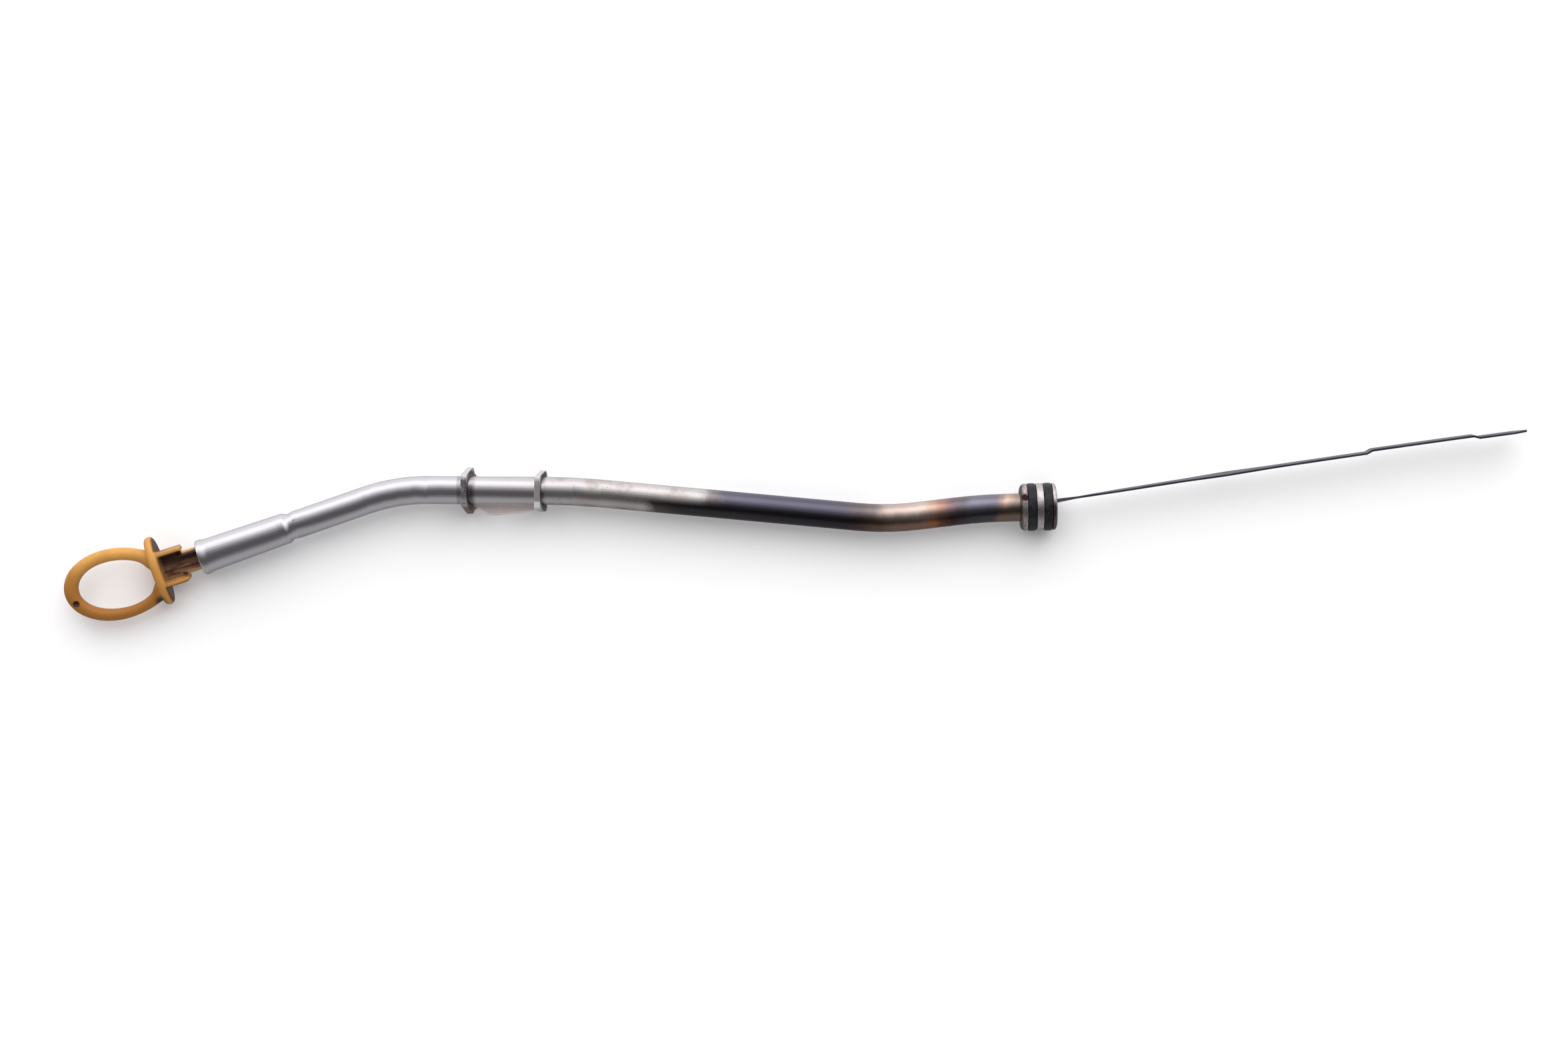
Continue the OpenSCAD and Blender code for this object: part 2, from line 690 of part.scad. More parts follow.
handle();
gauge_blade();
stem_seal();
guide_tube();
mounting_bracket();
end_collar();
o_ring_upper();
o_ring_lower();
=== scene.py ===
"""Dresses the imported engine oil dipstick: pieces, finishes, camera, floor and light.

The gauge lies seated in its bent guide tube. The camera looks straight down on the plane of the tube's
bends. Lengths are in metres unless a name ends in _mm, and every place is in the frame's own axes.
"""

from __future__ import annotations

import json
import logging
import math
from dataclasses import dataclass
from enum import Enum
from typing import Any, Dict, Iterable, Mapping, Optional, Sequence, Tuple, Union

import bmesh
import bpy
from mathutils import Matrix, Vector

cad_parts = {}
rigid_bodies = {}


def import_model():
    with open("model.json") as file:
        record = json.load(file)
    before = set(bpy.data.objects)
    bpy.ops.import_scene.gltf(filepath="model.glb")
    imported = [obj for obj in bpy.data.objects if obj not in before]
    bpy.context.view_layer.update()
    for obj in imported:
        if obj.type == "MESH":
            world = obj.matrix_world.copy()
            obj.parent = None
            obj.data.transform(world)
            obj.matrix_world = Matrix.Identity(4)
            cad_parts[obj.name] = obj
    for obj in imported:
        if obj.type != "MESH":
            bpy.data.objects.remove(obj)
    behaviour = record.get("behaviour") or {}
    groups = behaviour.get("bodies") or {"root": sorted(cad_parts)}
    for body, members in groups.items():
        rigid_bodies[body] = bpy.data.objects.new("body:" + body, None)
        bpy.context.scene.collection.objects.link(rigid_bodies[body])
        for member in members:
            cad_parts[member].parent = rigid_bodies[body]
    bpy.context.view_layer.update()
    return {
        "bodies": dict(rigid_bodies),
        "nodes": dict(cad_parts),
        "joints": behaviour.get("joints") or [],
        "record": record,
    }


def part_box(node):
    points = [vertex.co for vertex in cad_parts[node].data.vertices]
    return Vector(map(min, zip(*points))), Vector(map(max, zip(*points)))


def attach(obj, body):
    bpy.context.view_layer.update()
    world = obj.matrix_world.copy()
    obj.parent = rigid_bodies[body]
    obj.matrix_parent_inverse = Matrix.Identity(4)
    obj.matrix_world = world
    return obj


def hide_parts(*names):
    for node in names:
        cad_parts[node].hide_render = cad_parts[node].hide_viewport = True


LOG = logging.getLogger("dipstick")
MM = 0.001
BODY = "root"

# the value about which a noise pattern lies
MIDDLE = 0.5
# vertices closer to a cutting plane than this, in metres, lie on it
ON_PLANE = 1e-7

Colour = Tuple[float, float, float]
Stops = Sequence[Tuple[float, Colour]]
Vector3 = Tuple[float, float, float]
# where something is 0 and where it is 1
Span = Tuple[float, float]
# where something leaves 0, reaches 1, leaves 1 again, and is 0 again
Zone = Tuple[float, float, float, float]


class Slot(Enum):
    """The record's material slots that the pieces' finishes belong to."""

    PLASTIC = "handle_plastic"
    STRIP = "strip_steel"
    TUBE = "tube_steel"
    BRACKET = "bracket_steel"
    COLLAR = "collar_steel"
    RING = "ring_rubber"


class Signal:
    """A number in a node tree. Python's operators on it add Math nodes."""

    def __init__(self, shader: Shader, socket: bpy.types.NodeSocket) -> None:
        """Wraps an output socket.

        Args:
            shader: The shader whose tree holds the socket.
            socket: The output socket that gives the number.
        """
        self.shader = shader
        self.socket = socket

    def __add__(self, other: Operand) -> Signal:
        """Adds."""
        return self.shader.maths("ADD", self, other)

    def __radd__(self, other: Operand) -> Signal:
        """Adds, with the number on the left."""
        return self.shader.maths("ADD", other, self)

    def __sub__(self, other: Operand) -> Signal:
        """Subtracts."""
        return self.shader.maths("SUBTRACT", self, other)

    def __rsub__(self, other: Operand) -> Signal:
        """Subtracts this from a number."""
        return self.shader.maths("SUBTRACT", other, self)

    def __mul__(self, other: Operand) -> Signal:
        """Multiplies."""
        return self.shader.maths("MULTIPLY", self, other)

    def __truediv__(self, other: Operand) -> Signal:
        """Divides."""
        return self.shader.maths("DIVIDE", self, other)

    def __abs__(self) -> Signal:
        """Gives the size without the sign."""
        return self.shader.maths("ABSOLUTE", self)

    def __pow__(self, other: Operand) -> Signal:
        """Raises to a power."""
        return self.shader.maths("POWER", self, other)

    def rise(self, low: float, high: float) -> Signal:
        """Goes smoothly from 0 at low to 1 at high.

        Args:
            low: Where the result is 0. It may be more than high, for a fall.
            high: Where the result is 1.

        Returns:
            The eased share, held between 0 and 1.
        """
        falls = low > high
        ends = (high, low) if falls else (low, high)
        made = self.shader.node(
            "ShaderNodeMapRange",
            {"interpolation_type": "SMOOTHSTEP"},
            {"Value": self, "From Min": ends[0], "From Max": ends[1]},
        )
        eased = Signal(self.shader, made.outputs["Result"])
        return 1 - eased if falls else eased

    def within(self, zone: Zone) -> Signal:
        """Is 1 inside a zone and eases to 0 at both its ends."""
        start, full, fading, end = zone
        return self.rise(start, full) * self.rise(end, fading)

    def over(self, other: Operand) -> Signal:
        """Gives the larger of the two."""
        return self.shader.maths("MAXIMUM", self, other)


Operand = Union[Signal, float, int]


class Shader:
    """Builds the nodes of one tree."""

    def __init__(self, tree: bpy.types.NodeTree) -> None:
        """Starts on an emptied tree.

        Args:
            tree: The node tree of a material or a world.
        """
        self.tree = tree
        tree.nodes.clear()

    @classmethod
    def for_material(cls, name: str) -> Tuple[bpy.types.Material, Shader]:
        """Makes a material and its shader.

        Args:
            name: The material's name.

        Returns:
            The material and the shader that fills it.
        """
        material = bpy.data.materials.new(name)
        material.use_nodes = True
        return material, cls(material.node_tree)

    def node(
        self,
        kind: str,
        settings: Optional[Mapping[str, Any]] = None,
        inputs: Optional[Mapping[Union[str, int], Any]] = None,
    ) -> bpy.types.Node:
        """Adds one node.

        Args:
            kind: The node's type.
            settings: Its own settings, set first. "stops" fills a colour ramp.
            inputs: Values or links for its sockets, by name or number.

        Returns:
            The node.
        """
        made = self.tree.nodes.new(kind)
        for key, value in (settings or {}).items():
            if key == "stops":
                self._fill_ramp(made.color_ramp, value)
            else:
                setattr(made, key, value)
        for key, value in (inputs or {}).items():
            if isinstance(value, Signal):
                value = value.socket
            if isinstance(value, bpy.types.NodeSocket):
                self.tree.links.new(value, made.inputs[key])
            else:
                made.inputs[key].default_value = value
        return made

    @staticmethod
    def _fill_ramp(ramp: bpy.types.ColorRamp, stops: Stops) -> None:
        """Puts colour stops on a ramp, in rising order of place."""
        ramp.interpolation = "EASE"
        while len(ramp.elements) > 1:
            ramp.elements.remove(ramp.elements[-1])
        ramp.elements[0].position = stops[0][0]
        ramp.elements[0].color = (*stops[0][1], 1)
        for place, colour in stops[1:]:
            ramp.elements.new(place).color = (*colour, 1)

    def maths(self, operation: str, *operands: Operand) -> Signal:
        """Adds a Math node.

        Args:
            operation: The Math node's operation.
            operands: Numbers or signals, in the order of its sockets.

        Returns:
            Its result.
        """
        made = self.node("ShaderNodeMath", {"operation": operation}, dict(enumerate(operands)))
        return Signal(self, made.outputs[0])

    def place(self) -> bpy.types.NodeSocket:
        """Gives the point in Object coordinates, in metres."""
        return self.node("ShaderNodeTexCoord").outputs["Object"]

    def mapped(
        self,
        vector: bpy.types.NodeSocket,
        centre: Vector3 = (0, 0, 0),
        turn: float = 0,
        scale: Vector3 = (1, 1, 1),
    ) -> bpy.types.NodeSocket:
        """Moves, turns and scales a pattern.

        Args:
            vector: The point to map.
            centre: The pattern's centre, in metres.
            turn: The heading of the pattern's own +X, in degrees from +X.
            scale: The scale along the pattern's axes.

        Returns:
            The point in the pattern's own axes.
        """
        made = self.node(
            "ShaderNodeMapping",
            {"vector_type": "TEXTURE"},
            {
                "Vector": vector,
                "Location": centre,
                "Rotation": (0, 0, math.radians(turn)),
                "Scale": tuple(1 / s for s in scale),
            },
        )
        return made.outputs[0]

    def axes(self, vector: bpy.types.NodeSocket) -> Tuple[Signal, Signal, Signal]:
        """Splits a vector into three signals."""
        made = self.node("ShaderNodeSeparateXYZ", inputs={0: vector})
        x, y, z = (Signal(self, made.outputs[i]) for i in range(3))
        return x, y, z

    def axes_mm(self, vector: bpy.types.NodeSocket) -> Tuple[Signal, Signal, Signal]:
        """Splits a vector in metres into three signals in millimetres."""
        x, y, z = (axis / MM for axis in self.axes(vector))
        return x, y, z

    @staticmethod
    def distance(point: Sequence[Signal], place: Sequence[float]) -> Signal:
        """Gives the distance between a point and a place, in the unit of both.

        Args:
            point: The point's signals, along two or three axes.
            place: The place on the same axes.

        Returns:
            The distance.
        """
        squares = [(axis - at) ** 2 for axis, at in zip(point, place)]
        return sum(squares[1:], squares[0]) ** 0.5

    def noise(
        self, vector: bpy.types.NodeSocket, grain_mm: float, detail: float = 2, rough: float = 0.5
    ) -> Signal:
        """Adds a noise pattern.

        Args:
            vector: Where it is read, in metres.
            grain_mm: The size of one blotch.
            detail: How many finer layers it has.
            rough: How strong the finer layers are.

        Returns:
            A value about 0.5.
        """
        made = self.node(
            "ShaderNodeTexNoise",
            inputs={"Vector": vector, "Scale": 1 / (grain_mm * MM), "Detail": detail, "Roughness": rough},
        )
        return Signal(self, made.outputs["Fac"])

    def ramp(self, at: Signal, stops: Stops) -> bpy.types.NodeSocket:
        """Reads a colour ramp."""
        return self.node("ShaderNodeValToRGB", {"stops": stops}, {"Fac": at}).outputs["Color"]

    def along(self, at: Signal, stops: Stops) -> bpy.types.NodeSocket:
        """Reads a run of colours whose places are lengths or other plain numbers.

        Args:
            at: The place.
            stops: The colours, by place.

        Returns:
            The colour.
        """
        first, last = stops[0][0], stops[-1][0]
        shares = [((place - first) / (last - first), colour) for place, colour in stops]
        return self.ramp((at - first) / (last - first), shares)

    def level(self, at: Signal, points: Sequence[Tuple[float, float]]) -> Signal:
        """Reads a broken line through points.

        Args:
            at: The place.
            points: The line's corners, each with its place and its level.

        Returns:
            The level there.
        """
        total: Operand = points[0][1]
        for (start, low), (end, high) in zip(points, points[1:]):
            made = self.node(
                "ShaderNodeMapRange",
                {"clamp": True},
                {"Value": at, "From Min": start, "From Max": end, "To Min": 0.0, "To Max": high - low},
            )
            total = Signal(self, made.outputs["Result"]) + total
        return total

    def mix(self, share: Operand, first: Any, second: Any) -> bpy.types.NodeSocket:
        """Mixes two colours.

        Args:
            share: How much of the second there is, from 0 to 1.
            first: A colour or a colour socket.
            second: A colour or a colour socket.

        Returns:
            The mixed colour.
        """
        pair = [(*c, 1) if isinstance(c, tuple) else c for c in (first, second)]
        made = self.node("ShaderNodeMix", {"data_type": "RGBA"}, {0: share, 6: pair[0], 7: pair[1]})
        return made.outputs[2]

    def bump(
        self, height: Signal, depth_mm: float, under: Optional[bpy.types.NodeSocket] = None
    ) -> bpy.types.NodeSocket:
        """Adds relief.

        Args:
            height: The relief, from 0 to 1.
            depth_mm: Its depth.
            under: Relief that lies below this one.

        Returns:
            The bent normal.
        """
        inputs: Dict[Union[str, int], Any] = {"Height": height, "Strength": 1.0, "Distance": depth_mm * MM}
        if under is not None:
            inputs["Normal"] = under
        return self.node("ShaderNodeBump", inputs=inputs).outputs[0]

    def surface(self, **inputs: Any) -> None:
        """Adds the surface shader and the output. A socket's name has _ for a space."""
        named = {key.replace("_", " "): value for key, value in inputs.items()}
        made = self.node("ShaderNodeBsdfPrincipled", inputs=named)
        self.node("ShaderNodeOutputMaterial", inputs={"Surface": made.outputs[0]})


@dataclass(frozen=True)
class Patches:
    """Picks patches out of a pattern."""

    low: float
    high: float
    strength: float = 1.0

    def of(self, pattern: Signal) -> Signal:
        """Gives 0 where the pattern is under low, and the strength where it is over high."""
        return pattern.rise(self.low, self.high) * self.strength


@dataclass(frozen=True)
class TubeFinish:
    """Satin plated steel that turns to raw steel, soot, and heat tints towards the engine end."""

    # the tube's middle line in its lower run: where it is at some places along X, in millimetres
    middle_line: Sequence[Tuple[float, float]] = (
        (-30, -0.1),
        (20, -0.2),
        (54, -3.2),
        (116, -8.5),
        (131, -9.5),
        (145, -8.8),
        (175, -4.7),
    )
    radius_mm: float = 4.8
    # colours along the upper side and the lower side, by X in millimetres
    upper_side: Stops = (
        (-20, (0.86, 0.84, 0.89)),
        (10, (0.84, 0.81, 0.83)),
        (30, (0.84, 0.80, 0.79)),
        (65, (0.83, 0.79, 0.78)),
        (72, (0.32, 0.29, 0.29)),
        (78, (0.19, 0.18, 0.235)),
        (95, (0.165, 0.16, 0.215)),
        (114, (0.17, 0.16, 0.21)),
        (121, (0.21, 0.18, 0.19)),
        (126, (0.29, 0.24, 0.235)),
        (132, (0.74, 0.60, 0.53)),
        (143, (0.86, 0.69, 0.61)),
        (147, (0.75, 0.50, 0.38)),
        (150, (0.58, 0.33, 0.26)),
        (153.5, (0.29, 0.205, 0.23)),
        (157, (0.22, 0.20, 0.22)),
        (160.5, (0.29, 0.285, 0.36)),
        (166, (0.28, 0.27, 0.335)),
        (168, (0.29, 0.265, 0.31)),
        (169.6, (0.47, 0.36, 0.335)),
        (171.2, (0.83, 0.575, 0.465)),
        (173, (0.62, 0.465, 0.37)),
        (175, (0.44, 0.365, 0.30)),
        (177, (0.34, 0.285, 0.24)),
    )
    lower_side: Stops = (
        (-20, (0.86, 0.84, 0.89)),
        (10, (0.83, 0.80, 0.81)),
        (30, (0.80, 0.75, 0.73)),
        (45, (0.74, 0.69, 0.67)),
        (52, (0.12, 0.105, 0.10)),
        (60, (0.07, 0.062, 0.068)),
        (114, (0.06, 0.055, 0.068)),
        (121, (0.085, 0.065, 0.06)),
        (128, (0.20, 0.135, 0.105)),
        (134, (0.31, 0.20, 0.15)),
        (143, (0.34, 0.205, 0.15)),
        (147, (0.42, 0.17, 0.075)),
        (150, (0.18, 0.08, 0.05)),
        (154, (0.075, 0.05, 0.048)),
        (160, (0.085, 0.082, 0.10)),
        (166, (0.10, 0.098, 0.115)),
        (168, (0.115, 0.10, 0.105)),
        (170.6, (0.28, 0.19, 0.145)),
        (177, (0.26, 0.20, 0.165)),
    )
    # across the tube, as a share of its radius: where the lower side's colours take over, and the grimy foot
    turnover: Span = (0.2, -0.2)
    foot: Span = (-0.45, -0.95)
    # zones along X
    raw_mm: Zone = (8, 22, 58, 70)
    grimy_mm: Zone = (0, 30, 50, 66)
    flecked_mm: Zone = (60, 75, 110, 122)
    scratched_mm: Zone = (-5, 12, 50, 66)
    sooty_mm: Zone = (60, 74, 122, 131)
    # how far the edges of the zones wander, at the soot and, further along, at the heat tints
    soot_wander_mm: float = 5.0
    tint_wander_mm: float = 1.6
    tints_from_mm: Span = (115, 130)
    # how much later along the tube the last tints come on its upper side
    slant_mm: float = 0.9
    slant_from_mm: Span = (160, 168)
    # the grain of each pattern, and how much the streaks and scratches are drawn out
    cloud_mm: float = 9
    speckle_mm: float = 1.1
    streak_mm: float = 0.5
    streak_stretch: float = 0.03
    scratch_stretch: float = 0.12
    scratch_turn: float = 52
    stain: Colour = (0.42, 0.33, 0.27)
    stain_clouds: Patches = Patches(0.5, 0.66, 0.4)
    stain_specks: Patches = Patches(0.62, 0.75, 0.5)
    grime: Colour = (0.20, 0.17, 0.155)
    grime_clouds: Patches = Patches(0.3, 0.6, 0.6)
    scratches: Patches = Patches(0.68, 0.74, 0.55)
    pale: Colour = (0.5, 0.47, 0.5)
    flecks: Patches = Patches(0.66, 0.74, 0.3)
    # the dark halos at the bracket's ears, partly braze discolouring and partly painted shade beside the
    # ears' flanks: place along X, reach and strength
    halos: Sequence[Tuple[float, float, float]] = ((-11.9, 2.8, 0.85), (13.0, 1.9, 0.9), (-15.2, 1.3, 0.4))
    halo_core: float = 0.25
    halo_clouds: Patches = Patches(0.25, 0.55)
    dark_at_joint: Colour = (0.12, 0.085, 0.07)
    # the satin's roughness, and what the patterns and zones add to it
    satin: float = 0.235
    streaky: float = 0.12
    speckled: float = 0.05
    raw_rougher: float = 0.06
    stain_rougher: float = 0.22
    soot_smoother: float = 0.09
    tint_smoother: float = 0.1
    relief_mm: float = 0.012
    streak_relief: float = 0.25
    raw_relief: float = 0.5

    def material(self) -> bpy.types.Material:
        """Builds the material."""
        material, s = Shader.for_material("tube_satin_and_heat_tints")
        p = s.place()
        x_mm, y_mm, _ = s.axes_mm(p)
        side = (y_mm - s.level(x_mm, self.middle_line)) / self.radius_mm
        cloud = s.noise(p, self.cloud_mm, detail=4, rough=0.6)
        speckle = s.noise(p, self.speckle_mm, detail=3, rough=0.7)
        streak = s.noise(s.mapped(p, scale=(self.streak_stretch, 1, 1)), self.streak_mm)
        more = x_mm.rise(*self.tints_from_mm) * (self.tint_wander_mm - self.soot_wander_mm)
        wander = ((cloud - MIDDLE) * 2 + (speckle - MIDDLE)) * (self.soot_wander_mm + more)
        reached = x_mm + wander - side * x_mm.rise(*self.slant_from_mm) * self.slant_mm
        lower = side.rise(*self.turnover)
        colour = s.mix(lower, s.along(reached, self.upper_side), s.along(reached, self.lower_side))

        raw = x_mm.within(self.raw_mm)
        stained = (self.stain_clouds.of(cloud) + self.stain_specks.of(speckle)) * raw
        colour = s.mix(stained, colour, self.stain)
        foot = side.rise(*self.foot) * x_mm.within(self.grimy_mm)
        colour = s.mix(foot * self.grime_clouds.of(cloud), colour, self.grime)
        colour = s.mix(self.flecks.of(speckle) * x_mm.within(self.flecked_mm), colour, self.pale)
        drawn_out = s.mapped(p, turn=self.scratch_turn, scale=(self.scratch_stretch, 1, 1))
        scratch = self.scratches.of(s.noise(drawn_out, self.streak_mm))
        colour = s.mix(scratch * x_mm.within(self.scratched_mm), colour, self.grime)
        # partly braze discolouring, partly painted shade beside the ears
        for at, reach, strength in self.halos:
            halo = abs(x_mm - at).rise(reach, reach * self.halo_core) * self.halo_clouds.of(cloud) * strength
            colour = s.mix(halo, colour, self.dark_at_joint)

        sooty = reached.within(self.sooty_mm)
        tinted = reached.rise(*self.sooty_mm[2:])
        roughness = (
            self.satin
            + (streak - MIDDLE) * self.streaky
            + (speckle - MIDDLE) * self.speckled
            + raw * self.raw_rougher
            + stained * self.stain_rougher
            - sooty * self.soot_smoother
            - tinted * self.tint_smoother
        )
        ridges = streak * (self.streak_relief + raw * self.raw_relief)
        relief = s.bump(speckle * sooty + ridges, self.relief_mm)
        s.surface(Base_Color=colour, Metallic=1.0, Roughness=roughness, Normal=relief)
        return material


@dataclass(frozen=True)
class PlasticFinish:
    """Ochre moulded plastic, with painted shade on its near side, its far end, the flange's back and the
    ring's corner, and oil, painted shade and painted light in the stem.

    Its places are measured along and across the stem from the flange's middle, in millimetres.
    """

    ochre: Colour = (0.60, 0.30, 0.072)
    brown: Colour = (0.26, 0.092, 0.012)
    # dark brown: oil in the stem and in the nick, and painted shade in the stem, on the flange's back and in
    # the ring's corner
    oil_and_shade: Colour = (0.03, 0.012, 0.008)
    # painted light: the paler brown of the web where it is lit
    lit_web_brown: Colour = (0.20, 0.105, 0.06)
    # the flange's middle in the frame, and the stem's heading
    flange_mm: Vector3 = (-118.3, -28.35, 8.2)
    heading: float = 18.4
    # painted shade: the near side, away from the light, is browner, less so at the flange
    shaded_near_side: Span = (9, -4)
    near_shade_share: float = 0.85
    flange_face: Span = (-4, 0)
    flange_paler: float = 0.6
    blotches: Patches = Patches(0.35, 0.7, 0.2)
    specks: Patches = Patches(0.55, 0.75, 0.12)
    # where the rails' inner sides stand, where the wide part ends, and how much closer they stand beyond it
    rail_inner: float = 4.3
    wide_end: float = 9.4
    rail_step: float = 1.2
    step_blur: float = 0.3
    # the oil and painted shade between the rails, with the web lit paler towards the near rail as painted
    # light
    stem_from: Span = (1.1, 2.2)
    rail_fade: Span = (0.5, -0.3)
    between: float = 0.95
    on_rails: float = 0.1
    least_dirt_and_shade: float = 0.8
    streaky_dirt_and_shade: float = 0.35
    lit_web_side: Span = (2.5, -3)
    painted_web_light: Patches = Patches(0.3, 0.6)
    # painted shade on the flange's back, outside the rails
    shaded_back_from: Span = (0.7, 1.5)
    shaded_back_outside: Span = (1.7, 2.2)
    shaded_back_share: float = 0.9
    # painted shade in the corner where the near side of the ring meets the flange
    shaded_corner: Span = (-2.6, -10.4)
    corner_fade: Span = (2.8, 0.9)
    corner_least: float = 0.5
    corner_streaky: float = 0.8
    # painted shade: the ring's far end is browner at its upper side, where it catches no highlight
    far_end: Span = (-24, -30)
    far_side: Span = (-6, 0)
    far_shade_share: float = 0.55
    # the nick in the ring, in the frame, with its ragged edge
    nick_mm: Vector3 = (-146.2, -40.15, 10.55)
    nick_radius_mm: float = 1.15
    nick_fade: Span = (1.25, 0.95)
    ragged_mm: float = 1.4
    cloud_mm: float = 7
    mottle_mm: float = 1.6
    worn_mm: float = 1.2
    worn_stretch: float = 0.3
    grain_mm: float = 0.16
    satin: float = 0.36
    mottled: float = 0.18
    dirt_smoother: float = 0.08
    nick_rougher: float = 0.3
    relief_mm: float = 0.02
    index: float = 1.4

    def material(self) -> bpy.types.Material:
        """Builds the material."""
        material, s = Shader.for_material("handle_ochre_plastic")
        p = s.place()
        cloud = s.noise(p, self.cloud_mm, detail=3, rough=0.55)
        mottle = s.noise(p, self.mottle_mm, detail=3, rough=0.6)
        grain = s.noise(p, self.grain_mm)
        drawn_out = s.mapped(p, turn=self.heading, scale=(self.worn_stretch, 1, 1))
        worn = s.noise(drawn_out, self.worn_mm, detail=3)
        centre = tuple(v * MM for v in self.flange_mm)
        along, across, _ = s.axes_mm(s.mapped(p, centre=centre, turn=self.heading))

        # painted shade: browner towards the near side, away from the light, less so at the flange
        near = across.rise(*self.shaded_near_side) * (1 - along.rise(*self.flange_face) * self.flange_paler)
        patchy = self.blotches.of(cloud) + self.specks.of(mottle)
        colour = s.mix(near * self.near_shade_share + patchy * (1 - near), self.ochre, self.brown)
        # oil and painted shade between the rails, darker in the recess
        narrow = along.rise(self.wide_end - self.step_blur, self.wide_end + self.step_blur)
        from_middle = abs(across) + narrow * self.rail_step
        inner = from_middle.rise(*(self.rail_inner + fade for fade in self.rail_fade))
        # painted light: the web is paler towards its near rail, and darker under the far rail as painted
        # shade
        painted_web_light = s.mix(across.rise(*self.lit_web_side) * self.painted_web_light.of(worn), self.oil_and_shade, self.lit_web_brown)
        stem_oil_and_shade = along.rise(*self.stem_from) * (inner * self.between + self.on_rails)
        stem_oil_and_shade = stem_oil_and_shade * (self.least_dirt_and_shade + worn * self.streaky_dirt_and_shade)
        colour = s.mix(stem_oil_and_shade, colour, painted_web_light)

        # painted shade on the flange's back, outside the rails
        outside = abs(across).rise(*(self.rail_inner + fade for fade in self.shaded_back_outside))
        back = along.rise(*self.shaded_back_from) * outside * self.shaded_back_share
        # painted shade in the corner where the ring's near side meets the flange
        shaded_corner = s.distance((along, across), self.shaded_corner).rise(*self.corner_fade)
        shaded_corner = shaded_corner * (self.corner_least + worn * self.corner_streaky)
        colour = s.mix(back.over(shaded_corner), colour, self.oil_and_shade)
        # painted shade at the ring's far end
        far = along.rise(*self.far_end) * across.rise(*self.far_side) * self.far_shade_share
        colour = s.mix(far, colour, self.brown)

        away = s.distance(s.axes_mm(p), self.nick_mm) + (mottle - MIDDLE) * self.ragged_mm
        nick = away.rise(*(self.nick_radius_mm * share for share in self.nick_fade))
        colour = s.mix(nick, colour, self.oil_and_shade)
        roughness = self.satin + (mottle - MIDDLE) * self.mottled - stem_oil_and_shade * self.dirt_smoother
        roughness = roughness + nick * self.nick_rougher
        relief = s.bump((grain + mottle) / 2, self.relief_mm)
        s.surface(Base_Color=colour, Roughness=roughness, Normal=relief, IOR=self.index)
        return material


@dataclass(frozen=True)
class StripFinish:
    """Dark oil-stained spring steel."""

    steel: Colour = (0.23, 0.205, 0.26)
    oil: Colour = (0.13, 0.11, 0.14)
    # the strip's heading beyond the collar, along which the oil has run
    heading: float = 8
    stretch: float = 0.2
    film_mm: float = 2.2
    spots_mm: float = 0.8
    films: Patches = Patches(0.4, 0.62, 0.7)
    spots: Patches = Patches(0.6, 0.7, 0.3)
    satin: float = 0.3
    filmy: float = 0.2
    rough_spots: Patches = Patches(0.55, 0.7, 0.1)
    relief_mm: float = 0.01

    def material(self) -> bpy.types.Material:
        """Builds the material."""
        material, s = Shader.for_material("strip_oiled_spring_steel")
        p = s.place()
        drawn_out = s.mapped(p, turn=self.heading, scale=(self.stretch, 1, 1))
        film = s.noise(drawn_out, self.film_mm, detail=3, rough=0.6)
        spots = s.noise(p, self.spots_mm, detail=3, rough=0.6)
        colour = s.mix(self.films.of(film) + self.spots.of(spots), self.steel, self.oil)
        roughness = self.satin + (film - MIDDLE) * self.filmy + self.rough_spots.of(spots)
        s.surface(Base_Color=colour, Metallic=1.0, Roughness=roughness, Normal=s.bump(spots, self.relief_mm))
        return material


